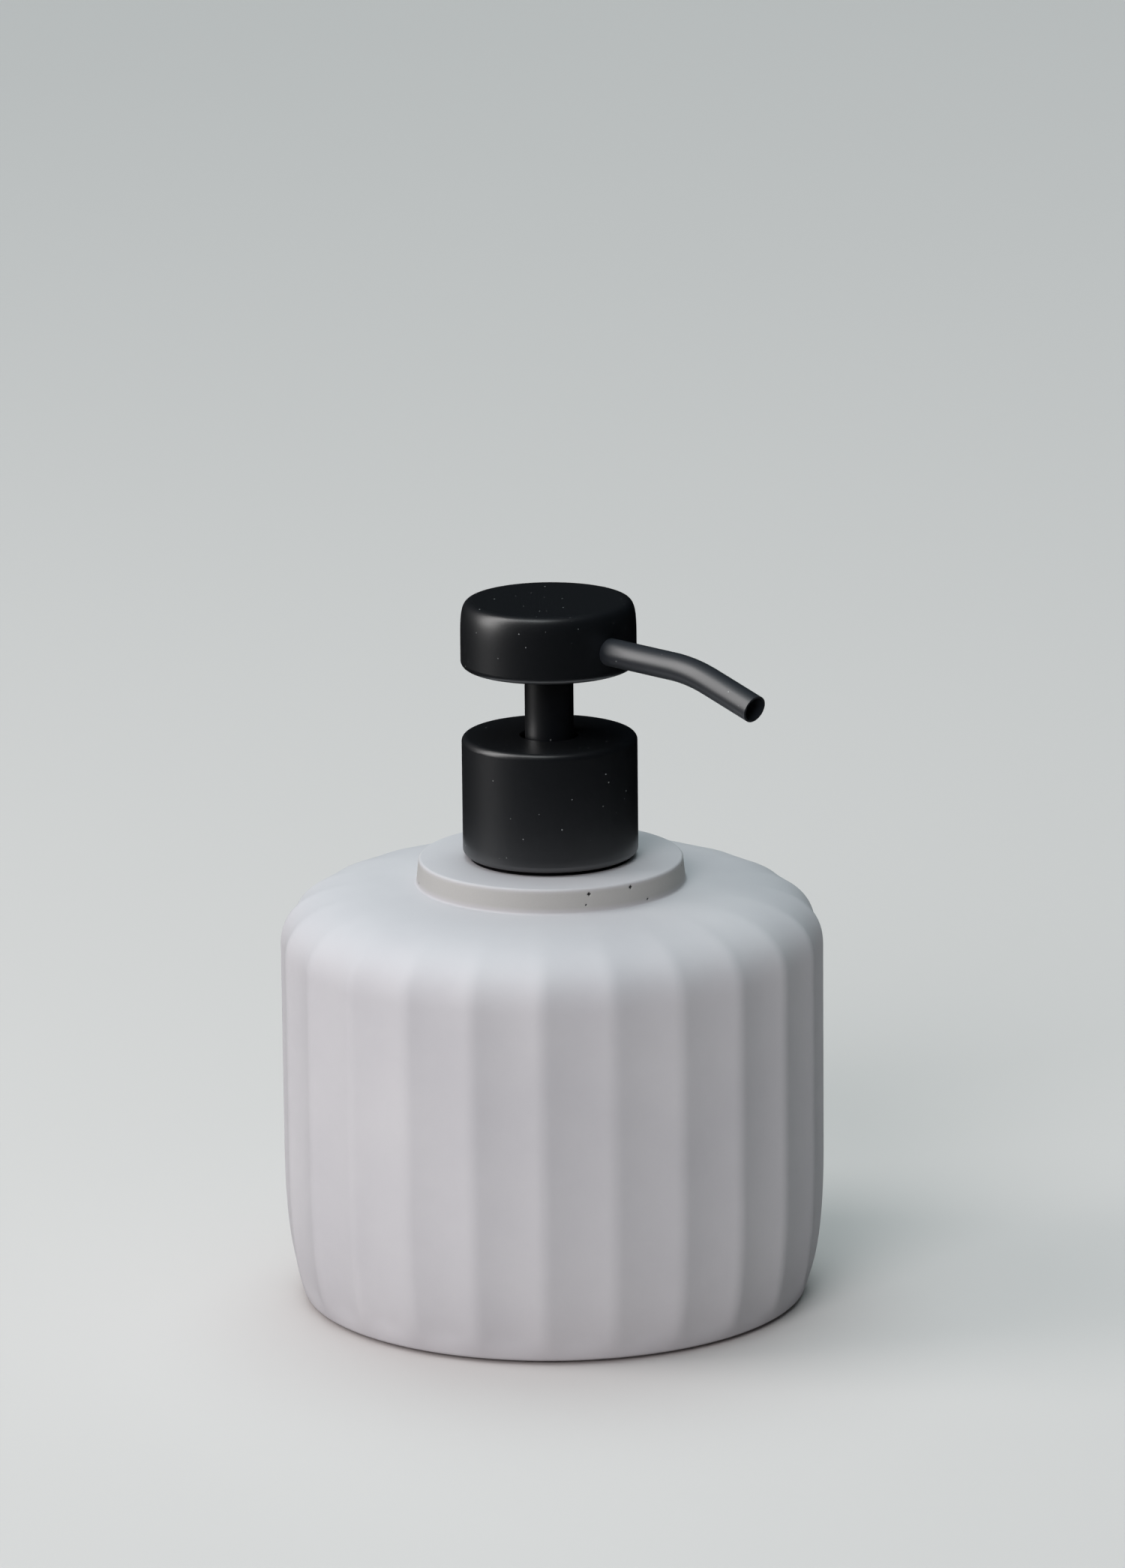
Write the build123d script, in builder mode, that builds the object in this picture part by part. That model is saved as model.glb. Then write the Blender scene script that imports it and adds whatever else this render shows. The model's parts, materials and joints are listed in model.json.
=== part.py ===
from build123d import *
from math import cos, pi, radians, sin, tan
import os

# Soap pump dispenser: a cast fluted bottle with a 28/400 screw neck and a hand pump.
# Millimetres, +Z up, origin at the middle of the foot, spout along +X.

# Bottle, outside
BODY_RADIUS = 49.0  # over the ridges between the flutes
BODY_BOTTOM = 0.6  # the foam pad stands this much proud of the casting
BASE_RADIUS = 45.5
BASE_LEAN = 64.5  # slope of the side where it leaves the base, degrees
BASE_EDGE = 1.0  # rounding of the casting's foot
SIDE_LOW = 26.9  # the side is upright between these two heights
SIDE_HIGH = 65.0
SHOULDER_HEIGHT = 76.85
FOOT_PULL = 3.6  # lengths of the handles that shape the side below and the shoulder above
SIDE_PULL_LOW = 17.2
SIDE_PULL_HIGH = 10.3
SHOULDER_PULL = 12.1
FLUTES = 24
FLUTE_DEPTH = 0.7  # below the ridges, at full radius
FLUTE_TURN = -1.2  # angle of one ridge from the spout, degrees
FLUTE_STEP = 360 / FLUTES
FLUTE_FADE = 5.0  # the flutes run out over this height above the foot

# Neck disc, cast in one with the bottle
DISC_RADIUS = 24.3
DISC_TOP_RADIUS = 23.8
DISC_TOP = 81.4
DISC_EDGE = 0.5
DISC_COVE = 1.0

# Bottle, inside: straight core with a little draft, drawn out of the open base
CAVITY_RADIUS = 38.5
CAVITY_TOP_RADIUS = 37.5
CAVITY_FILLET = 8.0
CAVITY_TOP = 70.4
PLATE_SEAT_RADIUS = 40.2
PLATE_SEAT_TOP = 6.8
NECK_HOLE_RADIUS = 14.3
GLUE_GAP = 0.1
SPARE = 2.0  # how far blanks and cutters run past what they shape
CUTTER_REACH = 14.0  # height of the flutes' cutter outside the ridge line

# Base plate and pad
PAD_THICKNESS = 1.7
PAD_RADIUS = 39.4
PAD_EDGE = 0.3
PLATE_THICKNESS = 5.0
PLATE_CHAMFER = 0.6

# 28/400 neck finish: 28 mm nominal, single start, 6 threads to the inch
THREAD_PITCH = 25.4 / 6
THREAD_TURNS = 1.5
NECK_ROOT = 12.6
NECK_CREST = 13.65
NECK_BORE = 10.3
NECK_RIM = 92.4
NECK_RIM_CHAMFER = 0.4
INSERT_FLANGE_RADIUS = 18.0  # glued under the roof of the cavity
INSERT_FLANGE_THICKNESS = 1.7
RIDGE_WIDTH = 2.4
RIDGE_TIP = 1.2
RIDGE_SUNK = 0.3  # how deep a ridge's root is let into its wall
NECK_THREAD_START = 84.3
CAP_ROOT = 13.95
CAP_CREST = 12.95
CAP_THREAD_DROP = 1.77  # the cap's ridge bears on the underside of the neck's
CAP_THREAD_TURN = 75.0  # degrees after the neck's ridge starts
CAP_THREAD_TURNS = 1.25

# Screw closure
SHROUD_RADIUS = 15.8
SHROUD_WALL = 0.75
SHROUD_BOTTOM = 82.0
SHROUD_TOP = 103.9
SHROUD_TOP_WALL = 0.6
SHROUD_TOP_EDGE = 1.1
SHROUD_FOOT_EDGE = 1.2
STEM_HOLE_RADIUS = 5.3
STEM_HOLE_EDGE = 0.2
CAP_RECESS = 0.2  # the cap starts this much inside the shroud
CAP_MOUTH_CHAMFER = 0.5
CAP_WALL_DROP = 1.2  # the cap's wall stops this far below the shroud's ceiling
CAP_SHOULDER = 95.25
CAP_SHOULDER_THICKNESS = 1.8
CAP_TOWER_BORE = 9.2
CAP_TOWER_RADIUS = 11.4
CAP_LEDGE = 100.4  # carries the lock ring's disc, so the pump lifts out with the closure
CAP_COUNTERBORE = 10.3
CAP_RIBS = 8
CAP_RIB_THICKNESS = 1.0
CAP_RIB_SUNK = 0.4  # let into the walls at both ends, and into the shoulder
LOCK_SKIRT_RADIUS = 8.9
LOCK_DISC_RADIUS = 9.9
LOCK_TOP = 102.1
LOCK_CHAMFER = 0.5
LOCK_GAP = 0.3  # above the rod's shoulder, the flange and the ledge

# Pump chamber
GASKET_THICKNESS = 1.2
FLANGE_RADIUS = 12.4
FLANGE_THICKNESS = 1.6
FLANGE_CONE = 1.2  # centres the gasket and braces the flange
CHAMBER_BORE = 6.2
CHAMBER_RADIUS = 7.4
CHAMBER_MOUTH = 100.2
CHAMBER_MOUTH_RADIUS = 7.95
SPRING_STEP = 54.7  # step under the ball cage
CAGE_TOP = 58.0
BALL_CHAMBER_RADIUS = 3.0
BALL_SEAT_HEIGHT = 49.5
INLET_RADIUS = 1.3
SOCKET_TOP = 47.5
SOCKET_BOTTOM = 38.0
SOCKET_RADIUS = 4.6
BALL_RADIUS = 2.0
BALL_GAP = 0.05
VENT_RADIUS = 0.7
VENT_DROP = 2.6
WEBS = 4
WEB_LENGTH = 2.0
WEB_THICKNESS = 1.0
WEB_START = 3.0  # above the socket's mouth
CAGE_RIBS = 4
CAGE_RIB_LENGTH = 2.4
CAGE_RIB_WIDTH = 0.9
CAGE_RIB_HEIGHT = 1.4
CAGE_RIB_PLACE = 2.1
CAGE_CHAMFER = 0.4
TUBE_RADIUS = 3.0
TUBE_BORE = 2.2
TUBE_BOTTOM = 8.8
TUBE_SLANT = 4.0

# Moving piston and stem
STEM_RADIUS = 4.4
STEM_WALL = 0.6
STEM_FIT = 0.05  # running clearance of the stem and of the rod
ROD_RADIUS = 2.9
ROD_BORE = 1.6
ROD_SHOULDER_RADIUS = 5.6
ROD_SHOULDER_BOTTOM = 93.6
ROD_SHOULDER_TOP = 95.9
ROD_TOP = 126.0
ROD_BOTTOM = 85.5
SEAT_RADIUS = 4.9
SEAT_BOTTOM = 83.0
PISTON_BOTTOM = 85.5
PISTON_TOP = 93.3
PISTON_RADIUS = 6.15
LIP_THICKNESS = 0.55
LIP_HEIGHT = 1.2
LIP_ROOT = 2.2
WAIST = 0.7
SLEEVE_LENGTH = 4.5  # the part of the piston's bore that hugs the rod
PORT_RADIUS = 0.8
PORT_HEIGHT = 2.6
PLUG_RADIUS = 3.2  # the seat's spigot that centres the spring
PLUG_LENGTH = 3.5
PLUG_TAPER = 2.0

# Return spring
SPRING_WIRE = 0.5
SPRING_RADIUS = 4.3
SPRING_TURNS = 7.5

# Head
HEAD_RADIUS = 15.8
HEAD_WALL = 0.8
HEAD_BOTTOM = 116.6
HEAD_TOP = 128.7
HEAD_TOP_WALL = 0.9
HEAD_TOP_EDGE = 2.4  # width of the rounded edge on the top face
HEAD_TOP_PULL = 0.3
HEAD_SIDE_PULL = 1.5
HEAD_SIDE_EASE = 7.0  # height over which the side leans in towards the top edge
HEAD_FOOT_EDGE = 1.2
HEAD_BASE_THICKNESS = 1.0
HEAD_BASE_RECESS = 0.25
STEM_TOP = 119.6
CORE_FIT = 0.05
CORE_CHAMFER = 1.6
CORE_SKIRT = 1.4
CORE_ROOF = 2.6
CORE_BOSS = 1.6  # wall round the stem's socket
CORE_RIBS = 5
CORE_RIB_THICKNESS = 1.0

# Spout
SPOUT_HEIGHT = 121.6
SPOUT_RADIUS = 2.5
SPOUT_BORE = 2.1
SPOUT_ROOT = 6.5  # where the tube ends inside the head
SPOUT_STRAIGHT = 31.6  # distance of the bend's start from the axis
SPOUT_BEND_RADIUS = 33.0
SPOUT_BEND = 16.0
SPOUT_END_LENGTH = 11.4
SPOUT_FIT = 0.05
SEAL_RADIUS = 3.3
SEAL_START = 9.0
SEAL_LENGTH = 1.8

os.makedirs("parts", exist_ok=True)


# ---------------------------------------------------------------- bottle body
# The ridge line, from the base up and over the shoulder to the foot of the disc, in the XZ plane.
lean_x = cos(radians(BASE_LEAN))
lean_z = sin(radians(BASE_LEAN))
low_curve = Bezier(
    (BASE_RADIUS, 0, BODY_BOTTOM),
    (BASE_RADIUS + FOOT_PULL * lean_x, 0, BODY_BOTTOM + FOOT_PULL * lean_z),
    (BODY_RADIUS, 0, SIDE_LOW - SIDE_PULL_LOW),
    (BODY_RADIUS, 0, SIDE_LOW),
)
high_curve = Bezier(
    (BODY_RADIUS, 0, SIDE_HIGH),
    (BODY_RADIUS, 0, SIDE_HIGH + SIDE_PULL_HIGH),
    (DISC_RADIUS + SHOULDER_PULL, 0, SHOULDER_HEIGHT),
    (DISC_RADIUS, 0, SHOULDER_HEIGHT),
)


def flute_outline(point, along):
    """One flute's cutter where it crosses the ridge line at point, square to the line's direction."""
    outward_x = along.Z
    half = point.X * sin(radians(FLUTE_STEP / 2))
    rise = min(max((point.Z - BODY_BOTTOM) / FLUTE_FADE, 0), 1)
    depth = FLUTE_DEPTH * point.X / BODY_RADIUS * outward_x * rise**2 * (3 - 2 * rise)
    # across the flute, in half widths, and depth there as a share of the full depth
    shape = ((0, 1), (0.78, 0.22), (1, 0), (1.22, 0.22))
    right = [(u * half, -outward_x * (u * half) ** 2 / (2 * point.X) - d * depth) for u, d in shape]
    left = [(-x, y) for x, y in right[:0:-1]]
    with BuildSketch(Plane(point, x_dir=(0, 1, 0), z_dir=-along)) as outline:
        with BuildLine():
            Spline(*left, *right)
            Polyline(right[-1], (right[-1][0], CUTTER_REACH), (left[0][0], CUTTER_REACH), left[0])
        make_face()
    return outline.sketch


def flute_outlines():
    """The outlines from just below the base to just inside the disc."""
    start, start_along = low_curve @ 0, low_curve % 0
    stations = [(start - start_along * (BODY_BOTTOM + SPARE), start_along)]
    stations += [(low_curve @ t, low_curve % t) for t in (0, 0.125, 0.25, 0.5, 0.75, 1)]
    upright = SIDE_HIGH - SIDE_LOW
    stations += [(Vector(BODY_RADIUS, 0, SIDE_LOW + upright * t), Vector(0, 0, 1)) for t in (0.25, 0.5, 0.75)]
    stations += [(high_curve @ t, high_curve % t) for t in (0, 0.15, 0.3, 0.45, 0.6, 0.8, 1)]
    stations += [(Vector(DISC_RADIUS - 2 * SPARE, 0, SHOULDER_HEIGHT), Vector(-1, 0, 0))]
    return [flute_outline(point, along) for point, along in stations]


with BuildPart() as flute_sector:
    with BuildSketch(Plane.XY.offset(BODY_BOTTOM)):
        with BuildLine():
            inner = NECK_HOLE_RADIUS + SPARE
            outer = BODY_RADIUS + SPARE
            slope = tan(radians(FLUTE_STEP / 2))
            Polyline(
                (inner, -inner * slope),
                (outer, -outer * slope),
                (outer, outer * slope),
                (inner, inner * slope),
                close=True,
            )
        make_face()
    extrude(amount=SHOULDER_HEIGHT + SPARE - BODY_BOTTOM)
    loft(sections=flute_outlines(), mode=Mode.SUBTRACT)

with BuildPart() as bottle_body:
    with PolarLocations(0, FLUTES, start_angle=FLUTE_TURN + FLUTE_STEP / 2):
        add(flute_sector.part)
    # neck disc with its cove, and the core of the shoulder under it
    with BuildSketch(Plane.XZ):
        with BuildLine():
            foot = DISC_RADIUS + DISC_COVE
            core = CAVITY_TOP - 2 * SPARE
            Polyline((0, core), (foot, core), (foot, SHOULDER_HEIGHT))
            cove = RadiusArc((foot, SHOULDER_HEIGHT), (DISC_RADIUS, SHOULDER_HEIGHT + DISC_COVE), DISC_COVE)
            Line(cove @ 1, (DISC_TOP_RADIUS, DISC_TOP - DISC_EDGE))
            edge = RadiusArc(
                (DISC_TOP_RADIUS, DISC_TOP - DISC_EDGE), (DISC_TOP_RADIUS - DISC_EDGE, DISC_TOP), -DISC_EDGE
            )
            Polyline(edge @ 1, (0, DISC_TOP), (0, core))
        make_face()
    revolve(axis=Axis.Z)
    # rounded foot
    with BuildSketch(Plane.XZ):
        with BuildLine():
            tangent = BASE_EDGE * tan(radians(BASE_LEAN / 2))
            foot_edge = RadiusArc(
                (BASE_RADIUS - tangent, BODY_BOTTOM),
                (BASE_RADIUS + tangent * lean_x, BODY_BOTTOM + tangent * lean_z),
                -BASE_EDGE,
            )
            Polyline(
                foot_edge @ 1,
                (BASE_RADIUS + SPARE, (foot_edge @ 1).Y),
                (BASE_RADIUS + SPARE, 0),
                (BASE_RADIUS - tangent, 0),
                foot_edge @ 0,
            )
        make_face()
    revolve(axis=Axis.Z, mode=Mode.SUBTRACT)
    # cavity, seat of the base plate and neck hole
    with BuildSketch(Plane.XZ):
        with BuildLine():
            Polyline(
                (0, BODY_BOTTOM),
                (PLATE_SEAT_RADIUS, BODY_BOTTOM),
                (PLATE_SEAT_RADIUS, PLATE_SEAT_TOP),
                (CAVITY_RADIUS, PLATE_SEAT_TOP),
                (CAVITY_TOP_RADIUS, CAVITY_TOP - CAVITY_FILLET),
            )
            RadiusArc(
                (CAVITY_TOP_RADIUS, CAVITY_TOP - CAVITY_FILLET),
                (CAVITY_TOP_RADIUS - CAVITY_FILLET, CAVITY_TOP),
                -CAVITY_FILLET,
            )
            Polyline(
                (CAVITY_TOP_RADIUS - CAVITY_FILLET, CAVITY_TOP),
                (NECK_HOLE_RADIUS, CAVITY_TOP),
                (NECK_HOLE_RADIUS, DISC_TOP),
                (0, DISC_TOP),
                (0, BODY_BOTTOM),
            )
        make_face()
    revolve(axis=Axis.Z, mode=Mode.SUBTRACT)

bottle_body.part.label = "bottle_body"
export_step(bottle_body.part, "parts/bottle_body.step")


# ---------------------------------------------------------------- base
with BuildPart() as base_plate:
    with BuildSketch(Plane.XY.offset(PAD_THICKNESS)):
        Circle(PLATE_SEAT_RADIUS - GLUE_GAP)
    extrude(amount=PLATE_THICKNESS)
    chamfer(base_plate.edges().group_by(Axis.Z)[-1], PLATE_CHAMFER)

base_plate.part.label = "base_plate"
export_step(base_plate.part, "parts/base_plate.step")

with BuildPart() as base_pad:
    with BuildSketch():
        Circle(PAD_RADIUS)
    extrude(amount=PAD_THICKNESS)
    fillet(base_pad.edges().group_by(Axis.Z)[0], PAD_EDGE)

base_pad.part.label = "base_pad"
export_step(base_pad.part, "parts/base_pad.step")


# ---------------------------------------------------------------- screw threads
def ridge_outline(path, root, crest):
    """Section of a thread ridge at the start of its helix, let into the wall it stands on."""
    side = 1 if crest > root else -1
    sunk = -RIDGE_SUNK * side
    tall = crest - root
    with BuildSketch(Plane(path @ 0, x_dir=((path @ 0).X, (path @ 0).Y, 0), z_dir=path % 0)) as outline:
        with BuildLine():
            Polyline(
                (sunk, -RIDGE_WIDTH / 2),
                (0, -RIDGE_WIDTH / 2),
                (tall, -RIDGE_TIP / 2),
                (tall, RIDGE_TIP / 2),
                (0, RIDGE_WIDTH / 2),
                (sunk, RIDGE_WIDTH / 2),
                close=True,
            )
        make_face()
    return outline.sketch


with BuildPart() as neck_insert:
    with BuildSketch(Plane.XZ):
        with BuildLine():
            flange = CAVITY_TOP - GLUE_GAP
            Polyline(
                (NECK_BORE, flange - INSERT_FLANGE_THICKNESS),
                (INSERT_FLANGE_RADIUS, flange - INSERT_FLANGE_THICKNESS),
                (INSERT_FLANGE_RADIUS, flange),
                (NECK_HOLE_RADIUS - GLUE_GAP, flange),
                (NECK_HOLE_RADIUS - GLUE_GAP, DISC_TOP - GLUE_GAP),
                (NECK_ROOT, DISC_TOP - GLUE_GAP),
                (NECK_ROOT, NECK_RIM - NECK_RIM_CHAMFER),
                (NECK_ROOT - NECK_RIM_CHAMFER, NECK_RIM),
                (NECK_BORE, NECK_RIM),
                close=True,
            )
        make_face()
    revolve(axis=Axis.Z)
    with BuildLine() as neck_helix:
        Helix(THREAD_PITCH, THREAD_PITCH * THREAD_TURNS, NECK_ROOT, center=(0, 0, NECK_THREAD_START))
    sweep(ridge_outline(neck_helix.line, NECK_ROOT, NECK_CREST), path=neck_helix.line, is_frenet=True)

neck_insert.part.label = "neck_insert"
export_step(neck_insert.part, "parts/neck_insert.step")


# ---------------------------------------------------------------- screw closure
CAP_RADIUS = SHROUD_RADIUS - SHROUD_WALL
CAP_BOTTOM = SHROUD_BOTTOM + CAP_RECESS
SHROUD_CEILING = SHROUD_TOP - SHROUD_TOP_WALL
CAP_THREAD_START = NECK_THREAD_START - CAP_THREAD_DROP + THREAD_PITCH * CAP_THREAD_TURN / 360
cap_helix = Rot(0, 0, CAP_THREAD_TURN) * Helix(
    THREAD_PITCH, THREAD_PITCH * CAP_THREAD_TURNS, CAP_ROOT, center=(0, 0, CAP_THREAD_START)
)
with BuildPart() as closure_cap:
    with BuildSketch(Plane.XZ):
        with BuildLine():
            Polyline(
                (CAP_ROOT + CAP_MOUTH_CHAMFER, CAP_BOTTOM),
                (CAP_RADIUS, CAP_BOTTOM),
                (CAP_RADIUS, SHROUD_CEILING - CAP_WALL_DROP),
                (CAP_ROOT, SHROUD_CEILING - CAP_WALL_DROP),
                (CAP_ROOT, CAP_SHOULDER + CAP_SHOULDER_THICKNESS),
                (CAP_TOWER_RADIUS, CAP_SHOULDER + CAP_SHOULDER_THICKNESS),
                (CAP_TOWER_RADIUS, SHROUD_CEILING),
                (CAP_COUNTERBORE, SHROUD_CEILING),
                (CAP_COUNTERBORE, CAP_LEDGE),
                (CAP_TOWER_BORE, CAP_LEDGE),
                (CAP_TOWER_BORE, CAP_SHOULDER),
                (CAP_ROOT, CAP_SHOULDER),
                (CAP_ROOT, CAP_BOTTOM + CAP_MOUTH_CHAMFER),
                close=True,
            )
        make_face()
    revolve(axis=Axis.Z)
    with BuildSketch(Plane.XY.offset(CAP_SHOULDER + CAP_RIB_SUNK)):
        with PolarLocations((CAP_TOWER_RADIUS + CAP_ROOT) / 2, CAP_RIBS):
            Rectangle(CAP_ROOT - CAP_TOWER_RADIUS + 2 * CAP_RIB_SUNK, CAP_RIB_THICKNESS)
    extrude(amount=SHROUD_CEILING - CAP_WALL_DROP - CAP_SHOULDER - CAP_RIB_SUNK)
    sweep(ridge_outline(cap_helix, CAP_ROOT, CAP_CREST), path=cap_helix, is_frenet=True)

closure_cap.part.label = "closure_cap"
export_step(closure_cap.part, "parts/closure_cap.step")

with BuildPart() as closure_shroud:
    with BuildSketch(Plane.XY.offset(SHROUD_BOTTOM)):
        Circle(SHROUD_RADIUS)
    extrude(amount=SHROUD_TOP - SHROUD_BOTTOM)
    fillet(closure_shroud.edges().group_by(Axis.Z)[-1], SHROUD_TOP_EDGE)
    fillet(closure_shroud.edges().group_by(Axis.Z)[0], SHROUD_FOOT_EDGE)
    with BuildSketch(Plane.XY.offset(SHROUD_BOTTOM)):
        Circle(CAP_RADIUS)
    extrude(amount=SHROUD_CEILING - SHROUD_BOTTOM, mode=Mode.SUBTRACT)
    with BuildSketch(Plane.XY.offset(SHROUD_CEILING)):
        Circle(STEM_HOLE_RADIUS)
    extrude(amount=SHROUD_TOP_WALL, mode=Mode.SUBTRACT)
    fillet(closure_shroud.edges().group_by(Axis.Z)[-1].sort_by(SortBy.RADIUS)[0], STEM_HOLE_EDGE)

closure_shroud.part.label = "closure_shroud"
export_step(closure_shroud.part, "parts/closure_shroud.step")


# ---------------------------------------------------------------- pump chamber
GASKET_TOP = NECK_RIM + GASKET_THICKNESS
FLANGE_TOP = GASKET_TOP + FLANGE_THICKNESS
with BuildPart() as neck_gasket:
    with BuildSketch(Plane.XY.offset(NECK_RIM)):
        Circle(FLANGE_RADIUS)
        Circle(CHAMBER_RADIUS + FLANGE_CONE + 0.4, mode=Mode.SUBTRACT)
    extrude(amount=GASKET_THICKNESS)

neck_gasket.part.label = "neck_gasket"
export_step(neck_gasket.part, "parts/neck_gasket.step")

BEAD_LOW = FLANGE_TOP + 2.0
BEAD_HIGH = BEAD_LOW + 1.0
BEAD = 0.35
with BuildPart() as pump_housing:
    with BuildSketch(Plane.XZ):
        with BuildLine():
            Polyline(
                (TUBE_RADIUS + STEM_FIT, SOCKET_BOTTOM),
                (SOCKET_RADIUS, SOCKET_BOTTOM),
                (SOCKET_RADIUS, BALL_SEAT_HEIGHT + 1),
                (CHAMBER_RADIUS, SPRING_STEP - 1),
                (CHAMBER_RADIUS, GASKET_TOP - FLANGE_CONE),
                (CHAMBER_RADIUS + FLANGE_CONE, GASKET_TOP),
                (FLANGE_RADIUS, GASKET_TOP),
                (FLANGE_RADIUS, FLANGE_TOP),
                (CHAMBER_MOUTH_RADIUS, FLANGE_TOP),
                (CHAMBER_MOUTH_RADIUS, BEAD_LOW),
                (CHAMBER_MOUTH_RADIUS + BEAD, (BEAD_LOW + BEAD_HIGH) / 2),
                (CHAMBER_MOUTH_RADIUS, BEAD_HIGH),
                (CHAMBER_MOUTH_RADIUS, CHAMBER_MOUTH),
                (CHAMBER_BORE, CHAMBER_MOUTH),
                (CHAMBER_BORE, SPRING_STEP),
                (BALL_CHAMBER_RADIUS, SPRING_STEP),
                (BALL_CHAMBER_RADIUS, BALL_SEAT_HEIGHT + BALL_CHAMBER_RADIUS - INLET_RADIUS),
                (INLET_RADIUS, BALL_SEAT_HEIGHT),
                (INLET_RADIUS, SOCKET_TOP),
                (TUBE_RADIUS + STEM_FIT, SOCKET_TOP),
                close=True,
            )
        make_face()
    revolve(axis=Axis.Z)
    # air vent under the flange
    with BuildSketch(Plane.XZ.offset(-CHAMBER_RADIUS - 1)):
        with Locations((0, GASKET_TOP - VENT_DROP)):
            Circle(VENT_RADIUS)
    extrude(amount=CHAMBER_RADIUS + 1 - CHAMBER_BORE / 2, mode=Mode.SUBTRACT)
    # webs stiffen the step down to the tube socket
    with BuildSketch(Plane.XY.offset(SOCKET_BOTTOM + WEB_START)):
        with PolarLocations(SOCKET_RADIUS + 0.3 * WEB_LENGTH, WEBS, start_angle=45):
            Rectangle(WEB_LENGTH, WEB_THICKNESS)
    extrude(amount=SPRING_STEP - SPARE - SOCKET_BOTTOM - WEB_START)

pump_housing.part.label = "pump_housing"
export_step(pump_housing.part, "parts/pump_housing.step")

with BuildPart() as lock_ring:
    with BuildSketch(Plane.XZ):
        with BuildLine():
            skirt = CHAMBER_MOUTH_RADIUS + STEM_FIT
            groove = skirt + BEAD
            Polyline(
                (STEM_RADIUS + STEM_FIT, ROD_SHOULDER_TOP + LOCK_GAP),
                (CHAMBER_BORE - 0.1, ROD_SHOULDER_TOP + LOCK_GAP),
                (CHAMBER_BORE - 0.1, CHAMBER_MOUTH),
                (skirt, CHAMBER_MOUTH),
                (skirt, BEAD_HIGH + 0.1),
                (groove, (BEAD_LOW + BEAD_HIGH) / 2),
                (skirt, BEAD_LOW - 0.1),
                (skirt, FLANGE_TOP + LOCK_GAP),
                (LOCK_SKIRT_RADIUS, FLANGE_TOP + LOCK_GAP),
                (LOCK_SKIRT_RADIUS, CAP_LEDGE + LOCK_GAP),
                (LOCK_DISC_RADIUS, CAP_LEDGE + LOCK_GAP),
                (LOCK_DISC_RADIUS, LOCK_TOP - LOCK_CHAMFER),
                (LOCK_DISC_RADIUS - LOCK_CHAMFER, LOCK_TOP),
                (STEM_RADIUS + STEM_FIT, LOCK_TOP),
                close=True,
            )
        make_face()
    revolve(axis=Axis.Z)

lock_ring.part.label = "lock_ring"
export_step(lock_ring.part, "parts/lock_ring.step")

with BuildPart() as ball_cage:
    with BuildSketch(Plane.XY.offset(SPRING_STEP)):
        Circle(CHAMBER_BORE - 0.05)
        Circle(BALL_CHAMBER_RADIUS, mode=Mode.SUBTRACT)
    extrude(amount=CAGE_TOP - SPRING_STEP)
    # ribs over the ball
    with BuildSketch(Plane.XY.offset(SPRING_STEP)):
        with PolarLocations(CAGE_RIB_PLACE, CAGE_RIBS):
            Rectangle(CAGE_RIB_LENGTH, CAGE_RIB_WIDTH)
    extrude(amount=CAGE_RIB_HEIGHT)
    chamfer(ball_cage.edges().group_by(Axis.Z)[-1].sort_by(SortBy.RADIUS)[-1], CAGE_CHAMFER)

ball_cage.part.label = "ball_cage"
export_step(ball_cage.part, "parts/ball_cage.step")

BALL_CENTRE = BALL_SEAT_HEIGHT - INLET_RADIUS + (BALL_RADIUS + BALL_GAP) / sin(pi / 4)
with BuildPart() as inlet_ball:
    with Locations((0, 0, BALL_CENTRE)):
        Sphere(BALL_RADIUS)

inlet_ball.part.label = "inlet_ball"
export_step(inlet_ball.part, "parts/inlet_ball.step")

with BuildPart() as dip_tube:
    with BuildSketch(Plane.XY.offset(TUBE_BOTTOM)):
        Circle(TUBE_RADIUS)
        Circle(TUBE_BORE, mode=Mode.SUBTRACT)
    extrude(amount=SOCKET_TOP - 0.2 - TUBE_BOTTOM)
    # the foot is cut aslant so that it can't seal against the base
    with BuildSketch(Plane.XZ):
        low = TUBE_BOTTOM - 1
        Polygon((-TUBE_SLANT, low), (TUBE_SLANT, low), (TUBE_SLANT, low + TUBE_SLANT), align=None)
    extrude(amount=TUBE_SLANT, both=True, mode=Mode.SUBTRACT)

dip_tube.part.label = "dip_tube"
export_step(dip_tube.part, "parts/dip_tube.step")


# ---------------------------------------------------------------- return spring
SPRING_LOW = CAGE_TOP + SPRING_WIRE
SPRING_HEIGHT = SEAT_BOTTOM - CAGE_TOP - 2 * SPRING_WIRE
with BuildPart() as return_spring:
    with BuildLine() as coil:
        Helix(SPRING_HEIGHT / SPRING_TURNS, SPRING_HEIGHT, SPRING_RADIUS, center=(0, 0, SPRING_LOW))
    with BuildSketch(Plane(coil.line @ 0, z_dir=coil.line % 0)):
        Circle(SPRING_WIRE)
    sweep(path=coil.line, is_frenet=True)

return_spring.part.label = "return_spring"
export_step(return_spring.part, "parts/return_spring.step")


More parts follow.
